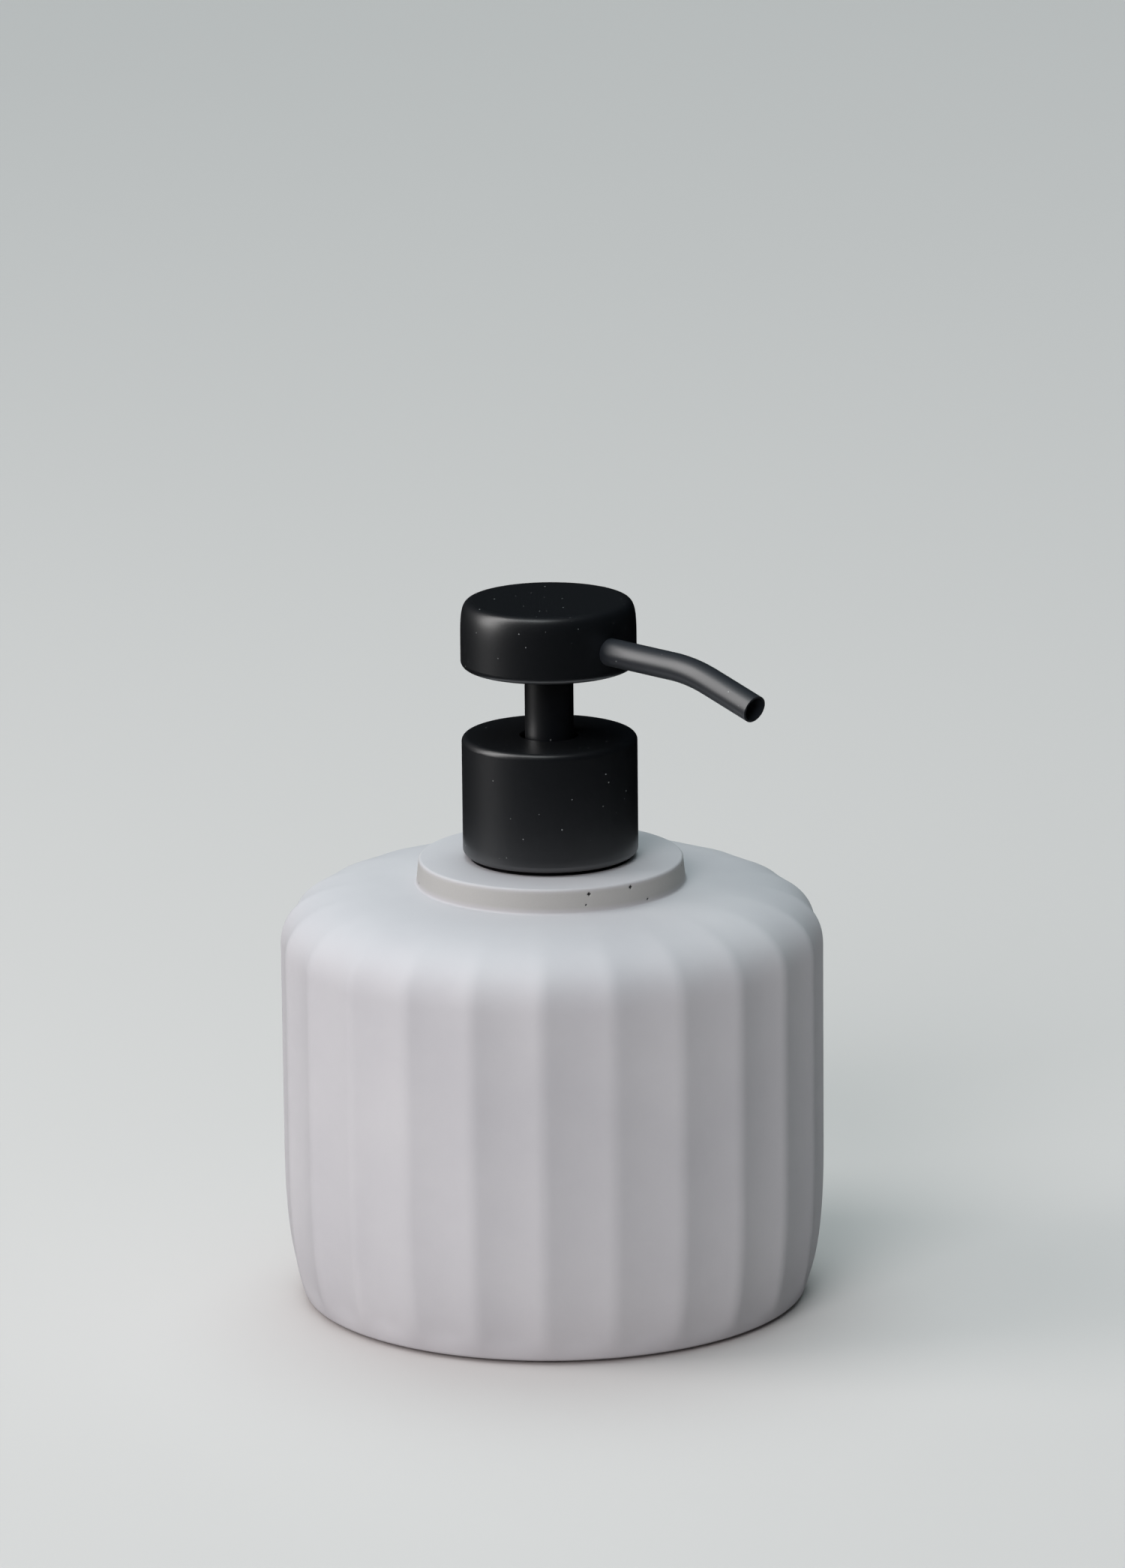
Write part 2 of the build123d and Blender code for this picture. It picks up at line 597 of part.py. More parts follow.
# ---------------------------------------------------------------- piston and stem
with BuildPart() as piston_seal:
    with BuildSketch(Plane.XZ):
        with BuildLine():
            guide = ROD_RADIUS + STEM_FIT
            Polyline(
                (guide + 0.5 * WAIST, PISTON_BOTTOM),
                (PISTON_RADIUS - 2 * WAIST, PISTON_BOTTOM + WAIST),
                (PISTON_RADIUS - LIP_THICKNESS, PISTON_BOTTOM),
                (PISTON_RADIUS, PISTON_BOTTOM),
                (PISTON_RADIUS, PISTON_BOTTOM + LIP_HEIGHT),
                (PISTON_RADIUS - WAIST, PISTON_BOTTOM + LIP_ROOT),
                (PISTON_RADIUS - WAIST, PISTON_TOP - LIP_ROOT),
                (PISTON_RADIUS, PISTON_TOP - LIP_HEIGHT),
                (PISTON_RADIUS, PISTON_TOP),
                (PISTON_RADIUS - LIP_THICKNESS, PISTON_TOP),
                (PISTON_RADIUS - 2 * WAIST, PISTON_TOP - LIP_HEIGHT),
                (guide, PISTON_TOP - LIP_HEIGHT),
                (guide, PISTON_BOTTOM + SLEEVE_LENGTH),
                (guide + 1.0, PISTON_BOTTOM + SLEEVE_LENGTH - WAIST),
                (guide + 1.0, PISTON_BOTTOM + LIP_HEIGHT),
                close=True,
            )
        make_face()
    revolve(axis=Axis.Z)

piston_seal.part.label = "piston_seal"
export_step(piston_seal.part, "parts/piston_seal.step")

with BuildPart() as piston_rod:
    with BuildSketch(Plane.XZ):
        with BuildLine():
            sleeve_bore = STEM_RADIUS - STEM_WALL
            Polyline(
                (ROD_BORE, ROD_BOTTOM),
                (ROD_RADIUS, ROD_BOTTOM),
                (ROD_RADIUS, ROD_SHOULDER_BOTTOM),
                (ROD_SHOULDER_RADIUS - 1, ROD_SHOULDER_BOTTOM),
                (ROD_SHOULDER_RADIUS, ROD_SHOULDER_BOTTOM + 1),
                (ROD_SHOULDER_RADIUS, ROD_SHOULDER_TOP),
                (sleeve_bore - 0.05, ROD_SHOULDER_TOP),
                (sleeve_bore - 0.05, STEM_TOP),
                (ROD_RADIUS, STEM_TOP),
                (ROD_RADIUS, ROD_TOP - 0.5),
                (ROD_RADIUS - 0.5, ROD_TOP),
                (ROD_BORE, ROD_TOP),
                close=True,
            )
        make_face()
    revolve(axis=Axis.Z)
    # two crossing ports, uncovered when the piston slides up the rod
    with BuildSketch(Plane.XZ, Plane.YZ):
        with Locations((0, PISTON_BOTTOM + PORT_HEIGHT)):
            Circle(PORT_RADIUS)
    extrude(amount=ROD_RADIUS + 1, both=True, mode=Mode.SUBTRACT)

piston_rod.part.label = "piston_rod"
export_step(piston_rod.part, "parts/piston_rod.step")

with BuildPart() as piston_seat:
    with BuildSketch(Plane.XZ):
        with BuildLine():
            top = ROD_BOTTOM - 0.1
            Polyline(
                (0, SEAT_BOTTOM - PLUG_LENGTH),
                (PLUG_RADIUS - PLUG_TAPER / 2, SEAT_BOTTOM - PLUG_LENGTH),
                (PLUG_RADIUS, SEAT_BOTTOM - PLUG_LENGTH + PLUG_TAPER),
                (PLUG_RADIUS, SEAT_BOTTOM),
                (SEAT_RADIUS, SEAT_BOTTOM),
                (SEAT_RADIUS, SEAT_BOTTOM + 1.3),
                (ROD_RADIUS, top),
                (ROD_BORE - 0.05, top),
                (ROD_BORE - 0.05, top + 1.4),
                (0, top + 1.4),
                close=True,
            )
        make_face()
    revolve(axis=Axis.Z)

piston_seat.part.label = "piston_seat"
export_step(piston_seat.part, "parts/piston_seat.step")

with BuildPart() as stem_sleeve:
    with BuildSketch(Plane.XY.offset(ROD_SHOULDER_TOP)):
        Circle(STEM_RADIUS)
        Circle(STEM_RADIUS - STEM_WALL, mode=Mode.SUBTRACT)
    extrude(amount=STEM_TOP - ROD_SHOULDER_TOP)

stem_sleeve.part.label = "stem_sleeve"
export_step(stem_sleeve.part, "parts/stem_sleeve.step")


# ---------------------------------------------------------------- head
SHELL_BORE = HEAD_RADIUS - HEAD_WALL
CORE_RADIUS = SHELL_BORE - CORE_FIT
CORE_BOTTOM = HEAD_BOTTOM + HEAD_BASE_RECESS + HEAD_BASE_THICKNESS
CORE_TOP = HEAD_TOP - HEAD_TOP_WALL
with BuildPart() as head_shell:
    with BuildSketch(Plane.XZ):
        with BuildLine():
            Polyline(
                (HEAD_RADIUS, HEAD_TOP - HEAD_SIDE_EASE),
                (HEAD_RADIUS, HEAD_BOTTOM),
                (0, HEAD_BOTTOM),
                (0, HEAD_TOP),
                (HEAD_RADIUS - HEAD_TOP_EDGE, HEAD_TOP),
            )
            Bezier(
                (HEAD_RADIUS - HEAD_TOP_EDGE, HEAD_TOP),
                (HEAD_RADIUS - HEAD_TOP_PULL, HEAD_TOP),
                (HEAD_RADIUS, HEAD_TOP - HEAD_SIDE_PULL),
                (HEAD_RADIUS, HEAD_TOP - HEAD_SIDE_EASE),
            )
        make_face()
    revolve(axis=Axis.Z)
    fillet(head_shell.edges().group_by(Axis.Z)[0], HEAD_FOOT_EDGE)
    with BuildSketch(Plane.XZ):
        with BuildLine():
            Polyline(
                (0, HEAD_BOTTOM),
                (SHELL_BORE, HEAD_BOTTOM),
                (SHELL_BORE, CORE_TOP - CORE_CHAMFER + 0.1),
                (SHELL_BORE - CORE_CHAMFER + 0.1, CORE_TOP),
                (0, CORE_TOP),
                close=True,
            )
        make_face()
    revolve(axis=Axis.Z, mode=Mode.SUBTRACT)
    with BuildSketch(Plane.YZ.offset(HEAD_RADIUS - 3)):
        with Locations((0, SPOUT_HEIGHT)):
            Circle(SPOUT_RADIUS + SPOUT_FIT)
    extrude(amount=4, mode=Mode.SUBTRACT)

head_shell.part.label = "head_shell"
export_step(head_shell.part, "parts/head_shell.step")

with BuildPart() as head_core:
    with BuildSketch(Plane.XY.offset(CORE_BOTTOM)):
        Circle(CORE_RADIUS)
    extrude(amount=CORE_TOP - CORE_BOTTOM)
    chamfer(head_core.edges().group_by(Axis.Z)[-1], CORE_CHAMFER)
    # pocket round the socket and the spout's boss, open below, with ribs
    with BuildSketch(Plane.XY.offset(CORE_BOTTOM)):
        Circle(CORE_RADIUS - CORE_SKIRT)
        Circle(STEM_RADIUS + CORE_BOSS, mode=Mode.SUBTRACT)
        with Locations((CORE_RADIUS / 2, 0)):
            Rectangle(CORE_RADIUS, 2 * SEAL_RADIUS + 2, mode=Mode.SUBTRACT)
        with PolarLocations(CORE_RADIUS / 2, CORE_RIBS, start_angle=60, angular_range=240, endpoint=True):
            Rectangle(CORE_RADIUS, CORE_RIB_THICKNESS, mode=Mode.SUBTRACT)
    extrude(amount=CORE_TOP - CORE_BOTTOM - CORE_ROOF, mode=Mode.SUBTRACT)
    # socket of the rod, and the seat of the sleeve below it
    with BuildSketch(Plane.XY.offset(CORE_BOTTOM)):
        Circle(STEM_RADIUS + STEM_FIT)
    extrude(amount=STEM_TOP + 0.1 - CORE_BOTTOM, mode=Mode.SUBTRACT)
    with BuildSketch(Plane.XY.offset(STEM_TOP)):
        Circle(ROD_RADIUS + STEM_FIT)
    extrude(amount=ROD_TOP + 0.1 - STEM_TOP, mode=Mode.SUBTRACT)
    # soap channel, socket of the spout and groove of its seal
    with BuildSketch(Plane.YZ):
        with Locations((0, SPOUT_HEIGHT)):
            Circle(ROD_BORE)
    extrude(amount=SPOUT_ROOT, mode=Mode.SUBTRACT)
    with BuildSketch(Plane.YZ.offset(SPOUT_ROOT)):
        with Locations((0, SPOUT_HEIGHT)):
            Circle(SPOUT_RADIUS + SPOUT_FIT)
    extrude(amount=CORE_RADIUS, mode=Mode.SUBTRACT)
    with BuildSketch(Plane.YZ.offset(SEAL_START)):
        with Locations((0, SPOUT_HEIGHT)):
            Circle(SEAL_RADIUS)
    extrude(amount=SEAL_LENGTH, mode=Mode.SUBTRACT)

head_core.part.label = "head_core"
export_step(head_core.part, "parts/head_core.step")

with BuildPart() as head_base:
    with BuildSketch(Plane.XY.offset(HEAD_BOTTOM + HEAD_BASE_RECESS)):
        Circle(CORE_RADIUS)
        Circle(STEM_RADIUS + STEM_FIT, mode=Mode.SUBTRACT)
    extrude(amount=HEAD_BASE_THICKNESS)

head_base.part.label = "head_base"
export_step(head_base.part, "parts/head_base.step")

with BuildPart() as spout_tube:
    with BuildLine() as spout_line:
        run = Line((SPOUT_ROOT + 0.1, 0, SPOUT_HEIGHT), (SPOUT_STRAIGHT, 0, SPOUT_HEIGHT))
        with BuildLine(Plane.XZ):
            bend = CenterArc(
                (SPOUT_STRAIGHT, SPOUT_HEIGHT - SPOUT_BEND_RADIUS), SPOUT_BEND_RADIUS, 90, -SPOUT_BEND
            )
        Line(bend @ 1, bend @ 1 + (bend % 1) * SPOUT_END_LENGTH)
    with BuildSketch(Plane.YZ.offset(SPOUT_ROOT + 0.1)):
        with Locations((0, SPOUT_HEIGHT)):
            Circle(SPOUT_RADIUS)
            Circle(SPOUT_BORE, mode=Mode.SUBTRACT)
    sweep(path=spout_line.line)

spout_tube.part.label = "spout_tube"
export_step(spout_tube.part, "parts/spout_tube.step")

with BuildPart() as spout_seal:
    with BuildSketch(Plane.YZ.offset(SEAL_START + 0.1)):
        with Locations((0, SPOUT_HEIGHT)):
            Circle(SEAL_RADIUS - 0.02)
            Circle(SPOUT_RADIUS + 0.02, mode=Mode.SUBTRACT)
    extrude(amount=SEAL_LENGTH - 0.2)

spout_seal.part.label = "spout_seal"
export_step(spout_seal.part, "parts/spout_seal.step")
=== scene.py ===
"""Soap pump dispenser: materials, casting, spring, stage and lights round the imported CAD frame.

Metres, +Z up, the spout along +X. Round the object, azimuth 0 looks at it from -Y."""
import json
import math
import random

import bpy
from mathutils import Matrix, Vector
from mathutils.kdtree import KDTree


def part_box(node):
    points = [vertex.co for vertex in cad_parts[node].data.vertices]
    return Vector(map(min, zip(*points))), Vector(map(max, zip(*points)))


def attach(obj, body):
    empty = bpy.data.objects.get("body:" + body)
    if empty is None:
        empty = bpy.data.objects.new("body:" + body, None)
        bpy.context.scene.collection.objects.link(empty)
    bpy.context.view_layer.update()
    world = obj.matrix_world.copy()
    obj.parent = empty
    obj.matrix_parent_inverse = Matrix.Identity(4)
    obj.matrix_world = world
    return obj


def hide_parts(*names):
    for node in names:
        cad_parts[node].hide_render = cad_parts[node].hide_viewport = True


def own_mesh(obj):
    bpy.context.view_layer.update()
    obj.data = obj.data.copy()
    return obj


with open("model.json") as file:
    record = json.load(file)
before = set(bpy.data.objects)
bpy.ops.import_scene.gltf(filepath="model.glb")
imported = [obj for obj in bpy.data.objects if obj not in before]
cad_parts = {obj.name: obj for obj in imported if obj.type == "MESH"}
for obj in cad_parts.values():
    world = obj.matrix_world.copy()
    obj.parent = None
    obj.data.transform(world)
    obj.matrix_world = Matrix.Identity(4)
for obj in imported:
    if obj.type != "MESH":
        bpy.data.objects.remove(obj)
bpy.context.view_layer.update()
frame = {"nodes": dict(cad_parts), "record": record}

MM = 0.001
PICTURE = (1500, 2090)  # pixels


# ---------------------------------------------------------------- camera
CAMERA_TARGET = Vector((0, 0, 60.6 * MM))
CAMERA_DISTANCE = 1.51938
CAMERA_AZIMUTH = math.radians(46.0)
CAMERA_ELEVATION = math.radians(15.543)
CAMERA_ROLL = math.radians(0.613)
CAMERA_CLIP = (0.05, 20.0)
CAMERA_LENS = 193.03  # mm
SENSOR = 36.0  # mm, along the picture's long side
TARGET_PIXEL = (735.93, 1288.47)  # where the picture shows the target
FOCAL = CAMERA_LENS / SENSOR * PICTURE[1]  # in pixels
TARGET_PAN = math.atan2(TARGET_PIXEL[0] - PICTURE[0] / 2, FOCAL)
TARGET_TILT = math.atan2(TARGET_PIXEL[1] - PICTURE[1] / 2, FOCAL)


def direction(azimuth, elevation):
    """Unit vector from the object towards a viewer or a lamp."""
    return Vector((
        math.sin(azimuth) * math.cos(elevation),
        -math.cos(azimuth) * math.cos(elevation),
        math.sin(elevation),
    ))


def make_camera():
    """A long lens from a little above, rolled slightly, with the object set low in the picture."""
    back = direction(CAMERA_AZIMUTH, CAMERA_ELEVATION)
    right = Vector((math.cos(CAMERA_AZIMUTH), math.sin(CAMERA_AZIMUTH), 0))
    up = back.cross(right)
    aimed = Matrix((right, up, back)).transposed()
    roll = Matrix.Rotation(CAMERA_ROLL, 3, "Z")
    off_axis = Vector((math.tan(TARGET_PAN), -math.tan(TARGET_TILT), -1)).normalized()
    turn = Vector((0, 0, -1)).rotation_difference(off_axis).to_matrix()
    camera = bpy.data.objects.new("camera", bpy.data.cameras.new("camera"))
    camera.data.lens = CAMERA_LENS
    camera.data.sensor_width = SENSOR
    camera.data.clip_start, camera.data.clip_end = CAMERA_CLIP
    rotation = aimed @ roll.inverted() @ turn.inverted()
    camera.matrix_world = Matrix.Translation(CAMERA_TARGET + CAMERA_DISTANCE * back) @ rotation.to_4x4()
    bpy.context.scene.collection.objects.link(camera)
    bpy.context.scene.camera = camera


make_camera()


# ---------------------------------------------------------------- material helpers
class Nodes:
    """A node tree being built, with object coordinates in millimetres as its space."""

    def __init__(self, name):
        self.material = bpy.data.materials.new(name)
        self.material.use_nodes = True
        self.tree = self.material.node_tree
        self.shader = self.tree.nodes["Principled BSDF"]
        coordinates = self.add("ShaderNodeTexCoord")
        scale = self.add("ShaderNodeVectorMath", operation="SCALE")
        scale.inputs["Scale"].default_value = 1 / MM
        self.link(coordinates.outputs["Object"], scale.inputs[0])
        self.space = scale.outputs[0]

    def add(self, kind, **settings):
        node = self.tree.nodes.new(kind)
        for key, value in settings.items():
            setattr(node, key, value)
        return node

    def link(self, output, socket):
        self.tree.links.new(output, socket)

    def noise(self, per_mm, detail=3.0, rough=0.5):
        """Fractal noise from 0 to 1, with that many features to a millimetre."""
        node = self.add("ShaderNodeTexNoise")
        node.inputs["Scale"].default_value = per_mm
        node.inputs["Detail"].default_value = detail
        node.inputs["Roughness"].default_value = rough
        self.link(self.space, node.inputs["Vector"])
        return node.outputs["Fac"]

    def cells(self, per_mm):
        """Distance to the nearest of scattered points, in cells."""
        node = self.add("ShaderNodeTexVoronoi")
        node.inputs["Scale"].default_value = per_mm
        self.link(self.space, node.inputs["Vector"])
        return node.outputs["Distance"]

    def ramp(self, value, *stops):
        """Maps a value through stops of a position and a grey or a colour."""
        node = self.add("ShaderNodeValToRGB")
        elements = node.color_ramp.elements
        while len(elements) < len(stops):
            elements.new(0.5)
        for element, (position, shade) in zip(elements, stops):
            element.position = position
            element.color = (*shade, 1) if isinstance(shade, tuple) else (shade, shade, shade, 1)
        self.link(value, node.inputs["Fac"])
        return node.outputs["Color"]

    def remap(self, value, low, high):
        """Maps 0 to 1 onto low to high."""
        node = self.add("ShaderNodeMapRange")
        node.inputs["To Min"].default_value = low
        node.inputs["To Max"].default_value = high
        self.link(value, node.inputs["Value"])
        return node.outputs["Result"]

    def math(self, operation, a, b):
        """Sum, comparison or such of two values, each a socket or a number."""
        node = self.add("ShaderNodeMath", operation=operation)
        for socket, value in zip(node.inputs, (a, b)):
            if isinstance(value, (int, float)):
                socket.default_value = value
            else:
                self.link(value, socket)
        return node.outputs[0]

    def mix(self, factor, a, b):
        """Mixes two colours, each a socket or a tuple."""
        node = self.add("ShaderNodeMix", data_type="RGBA")
        for socket, value in zip((node.inputs[0], node.inputs[6], node.inputs[7]), (factor, a, b)):
            if isinstance(value, tuple):
                socket.default_value = (*value, 1)
            elif isinstance(value, (int, float)):
                socket.default_value = value
            else:
                self.link(value, socket)
        return node.outputs[2]

    def bump(self, height, distance, strength, normal=None):
        """Raises the surface by height times distance, in metres."""
        node = self.add("ShaderNodeBump")
        node.inputs["Distance"].default_value = distance
        node.inputs["Strength"].default_value = strength
        self.link(height, node.inputs["Height"])
        if normal is not None:
            self.link(normal, node.inputs["Normal"])
        return node.outputs["Normal"]

    def wire(self, colour, roughness, normal=None):
        """Feeds the shader, each input from a socket or a constant, and gives the material."""
        for name, value in (("Base Color", colour), ("Roughness", roughness), ("Normal", normal)):
            if isinstance(value, tuple):
                self.shader.inputs[name].default_value = (*value, 1)
            elif isinstance(value, (int, float)):
                self.shader.inputs[name].default_value = value
            elif value is not None:
                self.link(value, self.shader.inputs[name])
        return self.material


# ---------------------------------------------------------------- materials
CLOUD_SHADES = (0.525, 0.505, 0.530), (0.582, 0.560, 0.580)
GRAIN_SHADE = (0.465, 0.445, 0.470)
RAW_SHADES = (0.480, 0.460, 0.445), (0.400, 0.382, 0.370)
# painted shade: a near-black mixed into the pinholes, deeper pits darker, standing for the shade inside them
PIT_PAINTED_SHADE = (0.03, 0.03, 0.03)
DUST_SHADE = (0.24, 0.25, 0.25)
DUST_LIMITS = (-0.09, 0.17)  # radius of a speck, in cells: none where it is below 0
FOAM_SHADES = (0.030, 0.030, 0.032), (0.050, 0.050, 0.052)
WIRE_SHADES = (0.60, 0.60, 0.61), (0.45, 0.45, 0.46)
BALL_SHADES = (0.75, 0.76, 0.78), (0.6, 0.6, 0.62)


def cement():
    """Fine grey cast cement: faint clouds and sand grain, a rawer side of the neck disc, and painted shade
    darkening the pinholes by their depth.
    """
    n = Nodes("cast_cement")
    clouds = n.noise(0.035, 4, 0.55)
    grain = n.noise(3.2, 4, 0.7)
    sand = n.noise(11.0, 2, 0.6)
    raw = n.add("ShaderNodeAttribute", attribute_name="raw").outputs["Fac"]
    pit = n.add("ShaderNodeAttribute", attribute_name="pit").outputs["Fac"]
    base = n.ramp(clouds, (0.3, CLOUD_SHADES[0]), (0.7, CLOUD_SHADES[1]))
    base = n.mix(n.remap(grain, 0.0, 0.22), base, GRAIN_SHADE)
    base = n.mix(raw, base, n.mix(n.remap(grain, 0.2, 0.8), *RAW_SHADES))
    # painted shade in the pinholes, darker where the pit is deeper
    base = n.mix(n.ramp(pit, (0.1, 0.0), (0.45, 1.0)), base, PIT_PAINTED_SHADE)
    skin = n.bump(grain, 0.03 * MM, 0.35)
    skin = n.bump(sand, 0.01 * MM, 0.3, skin)
    n.shader.inputs["Specular IOR Level"].default_value = 0.35
    return n.wire(base, n.remap(grain, 0.5, 0.68), skin)


def powder_coat(name, shade, roughness, ior):
    """Fine-textured black powder coat on steel, with a few pale specks of dust."""
    n = Nodes(name)
    orange_peel = n.noise(2.4, 2, 0.5)
    grain = n.noise(9.0, 2, 0.5)
    dust = n.math("LESS_THAN", n.cells(0.6), n.remap(n.noise(0.4, 1), *DUST_LIMITS))
    bluish, neutral = (shade, shade * 1.2, shade * 1.6), (shade * 1.5,) * 3
    colour = n.mix(n.remap(grain, 0.0, 0.3), bluish, neutral)
    colour = n.mix(dust, colour, DUST_SHADE)
    skin = n.bump(orange_peel, 0.008 * MM, 0.2)
    skin = n.bump(grain, 0.004 * MM, 0.2, skin)
    n.shader.inputs["IOR"].default_value = ior
    return n.wire(colour, n.remap(grain, roughness - 0.04, roughness + 0.06), skin)


def moulded(name, colour, roughness):
    """Injection-moulded plastic with a fine spark-eroded grain."""
    n = Nodes(name)
    grain = n.noise(6.0, 3, 0.6)
    tone = n.noise(0.12, 2)
    darker = tuple(c * 0.86 for c in colour)
    skin = n.bump(grain, 0.01 * MM, 0.3)
    shades = n.mix(n.remap(tone, 0.0, 0.6), colour, darker)
    return n.wire(shades, n.remap(grain, roughness - 0.05, roughness + 0.1), skin)


def foam():
    """Closed-cell foam: small burst cells all over."""
    n = Nodes("foam_rubber")
    cells = n.cells(2.4)
    tone = n.noise(0.3, 3)
    colour = n.mix(n.remap(tone, 0.0, 0.7), *FOAM_SHADES)
    return n.wire(colour, n.remap(tone, 0.82, 0.95), n.bump(cells, 0.08 * MM, 0.5))


def spring_wire():
    """Drawn stainless wire with fine marks."""
    n = Nodes("spring_wire")
    marks = n.noise(7.0, 3, 0.6)
    n.shader.inputs["Metallic"].default_value = 1.0
    colour = n.mix(n.remap(marks, 0, 0.5), *WIRE_SHADES)
    return n.wire(colour, n.remap(marks, 0.22, 0.38), n.bump(marks, 0.01 * MM, 0.3))


def polished_ball():
    """Polished steel, a little uneven in its gloss."""
    n = Nodes("polished_steel")
    marks = n.noise(3.0, 2)
    n.shader.inputs["Metallic"].default_value = 1.0
    colour = n.mix(n.remap(marks, 0, 0.2), *BALL_SHADES)
    return n.wire(colour, n.remap(marks, 0.06, 0.14))


MATERIALS = {
    "cement": cement(),
    "black_coat": powder_coat("black_coat", 0.005, 0.37, 2.05),
    "spout_coat": powder_coat("spout_coat", 0.016, 0.42, 2.2),
    "base_board": moulded("base_board", (0.36, 0.36, 0.37), 0.55),
    "foam_pad": foam(),
    "neck_plastic": moulded("neck_plastic", (0.020, 0.020, 0.022), 0.45),
    "white_plastic": moulded("white_plastic", (0.72, 0.72, 0.70), 0.38),
    "black_plastic": moulded("black_plastic", (0.016, 0.016, 0.018), 0.42),
    "gasket_foam": moulded("gasket_foam", (0.70, 0.70, 0.68), 0.85),
    "piston_plastic": moulded("piston_plastic", (0.66, 0.69, 0.72), 0.25),
    "tube_plastic": moulded("tube_plastic", (0.70, 0.71, 0.70), 0.25),
    "seal_rubber": moulded("seal_rubber", (0.02, 0.02, 0.02), 0.7),
    "spring_steel": spring_wire(),
    "ball_steel": polished_ball(),
}


def dress_frame():
    """Every CAD node takes the material of its slot in the record."""
    for part in frame["record"]["subparts"]:
        mesh = frame["nodes"][part["node"]].data
        mesh.materials.clear()
        mesh.materials.append(MATERIALS[part["material_slot"]])


dress_frame()


# ---------------------------------------------------------------- mesh helpers
FILLET_STEPS = 5


def add_piece(name, vertices, faces, body, slot, *replaced, sharp=35):
    """A smooth-shaded mesh piece that rides on a body and stands for CAD nodes."""
    mesh = bpy.data.meshes.new(name)
    mesh.from_pydata(vertices, [], faces)
    mesh.validate()
    mesh.materials.append(MATERIALS[slot])
    mesh.shade_smooth()
    mesh.set_sharp_from_angle(angle=math.radians(sharp))
    piece = bpy.data.objects.new(name, mesh)
    bpy.context.scene.collection.objects.link(piece)
    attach(piece, body)
    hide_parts(*replaced)
    return piece


def rounded(corners):
    """Closed outline through (r, z, fillet radius) corners, the fillets as arcs."""
    points = []
    count = len(corners)
    for i, (r, z, fillet) in enumerate(corners):
        here = Vector((r, z))
        if fillet == 0:
            points.append(here)
            continue
        before = (Vector(corners[i - 1][:2]) - here).normalized()
        after = (Vector(corners[(i + 1) % count][:2]) - here).normalized()
        half = before.angle(after) / 2
        centre = here + (before + after).normalized() * fillet / math.sin(half)
        start = here + before * fillet / math.tan(half) - centre
        end = here + after * fillet / math.tan(half) - centre
        turn = start.angle_signed(end)
        for k in range(FILLET_STEPS + 1):
            points.append(centre + Matrix.Rotation(-turn * k / FILLET_STEPS, 2) @ start)
    return points


def radius_of(node):
    """Radius of a round node that stands on the axis."""
    low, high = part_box(node)
    return (high.y - low.y) / 2


# ---------------------------------------------------------------- cast bottle
BODY_RADIUS = 49.0 * MM
BASE_RADIUS = 45.5 * MM
BASE_LEAN = math.radians(64.5)
SIDE_LOW = 26.9 * MM
SIDE_HIGH = 65.0 * MM
SHOULDER_HEIGHT = 76.85 * MM
DISC_RADIUS = 24.3 * MM
DISC_TOP_RADIUS = 23.8 * MM
DISC_SIDE = 23.2 * MM  # the disc's side with its fillets is all outside this radius
DISC_FOOT_FILLET = 0.4 * MM
DISC_TOP_FILLET = 0.5 * MM
SHOULDER_END = 1.0 * MM  # the shoulder's curve runs to within this of the disc
FOOT_PULL = 3.6 * MM  # this and the next three: handles that shape the outline's curves
SIDE_PULL_LOW = 17.2 * MM
SIDE_PULL_HIGH = 10.3 * MM
SHOULDER_PULL = 12.1 * MM
FOOT_STEPS, SIDE_STEPS, SHOULDER_STEPS = 24, 10, 44
NECK_BORE = 14.3 * MM
NECK_BORE_EDGE = 0.3 * MM
CAVITY_TOP = 70.4 * MM
CAVITY_TOP_RADIUS = 37.5 * MM
CAVITY_FOOT_RADIUS = 38.5 * MM
CAVITY_FILLET = 8.0 * MM
SEAT_HEIGHT = 6.8 * MM
SEAT_RADIUS = 40.2 * MM
SEAT_EDGE = 0.4 * MM
FLUTES = 24
FLUTE_DEPTH = 0.7 * MM
FLUTE_TURN = math.radians(-1.2)
RIDGE_SHARE = 0.22  # of half a flute, rounded over at each ridge
FLUTE_FADE = 5.0 * MM  # the flutes run out over this height above the foot
SHOULDER_FADE = 1.4  # power of the outline's steepness, by which they run out on the shoulder
BASE_EDGE = 1.0 * MM
STEPS_PER_FLUTE = 30
SKIN_STEP = 0.25 * MM  # between rows on the disc's side, fine enough for its pores
PORES = 15
PORE_RADIUS = (0.2 * MM, 0.3 * MM)
PORE_STRETCH = 1.3  # depth of a pore over its radius
PORE_SEED = 5
PORE_FREE_FOOT = 0.8 * MM  # heights without pores at the foot and the top of the disc's side
PORE_FREE_TOP = 0.7 * MM
RAW_FADE_FOOT = 1.2 * MM  # heights over which the look of a raw side fades in and out there
RAW_FADE_TOP = 0.9 * MM


def bezier(a, b, c, d, steps):
    """Points and directions of a cubic curve, without its last point."""
    a, b, c, d = Vector(a), Vector(b), Vector(c), Vector(d)
    found = []
    for k in range(steps):
        t = k / steps
        s = 1 - t
        point = s**3 * a + 3 * s * s * t * b + 3 * s * t * t * c + t**3 * d
        along = s * s * (b - a) + 2 * s * t * (c - b) + t * t * (d - c)
        found.append((point, along.normalized()))
    return found


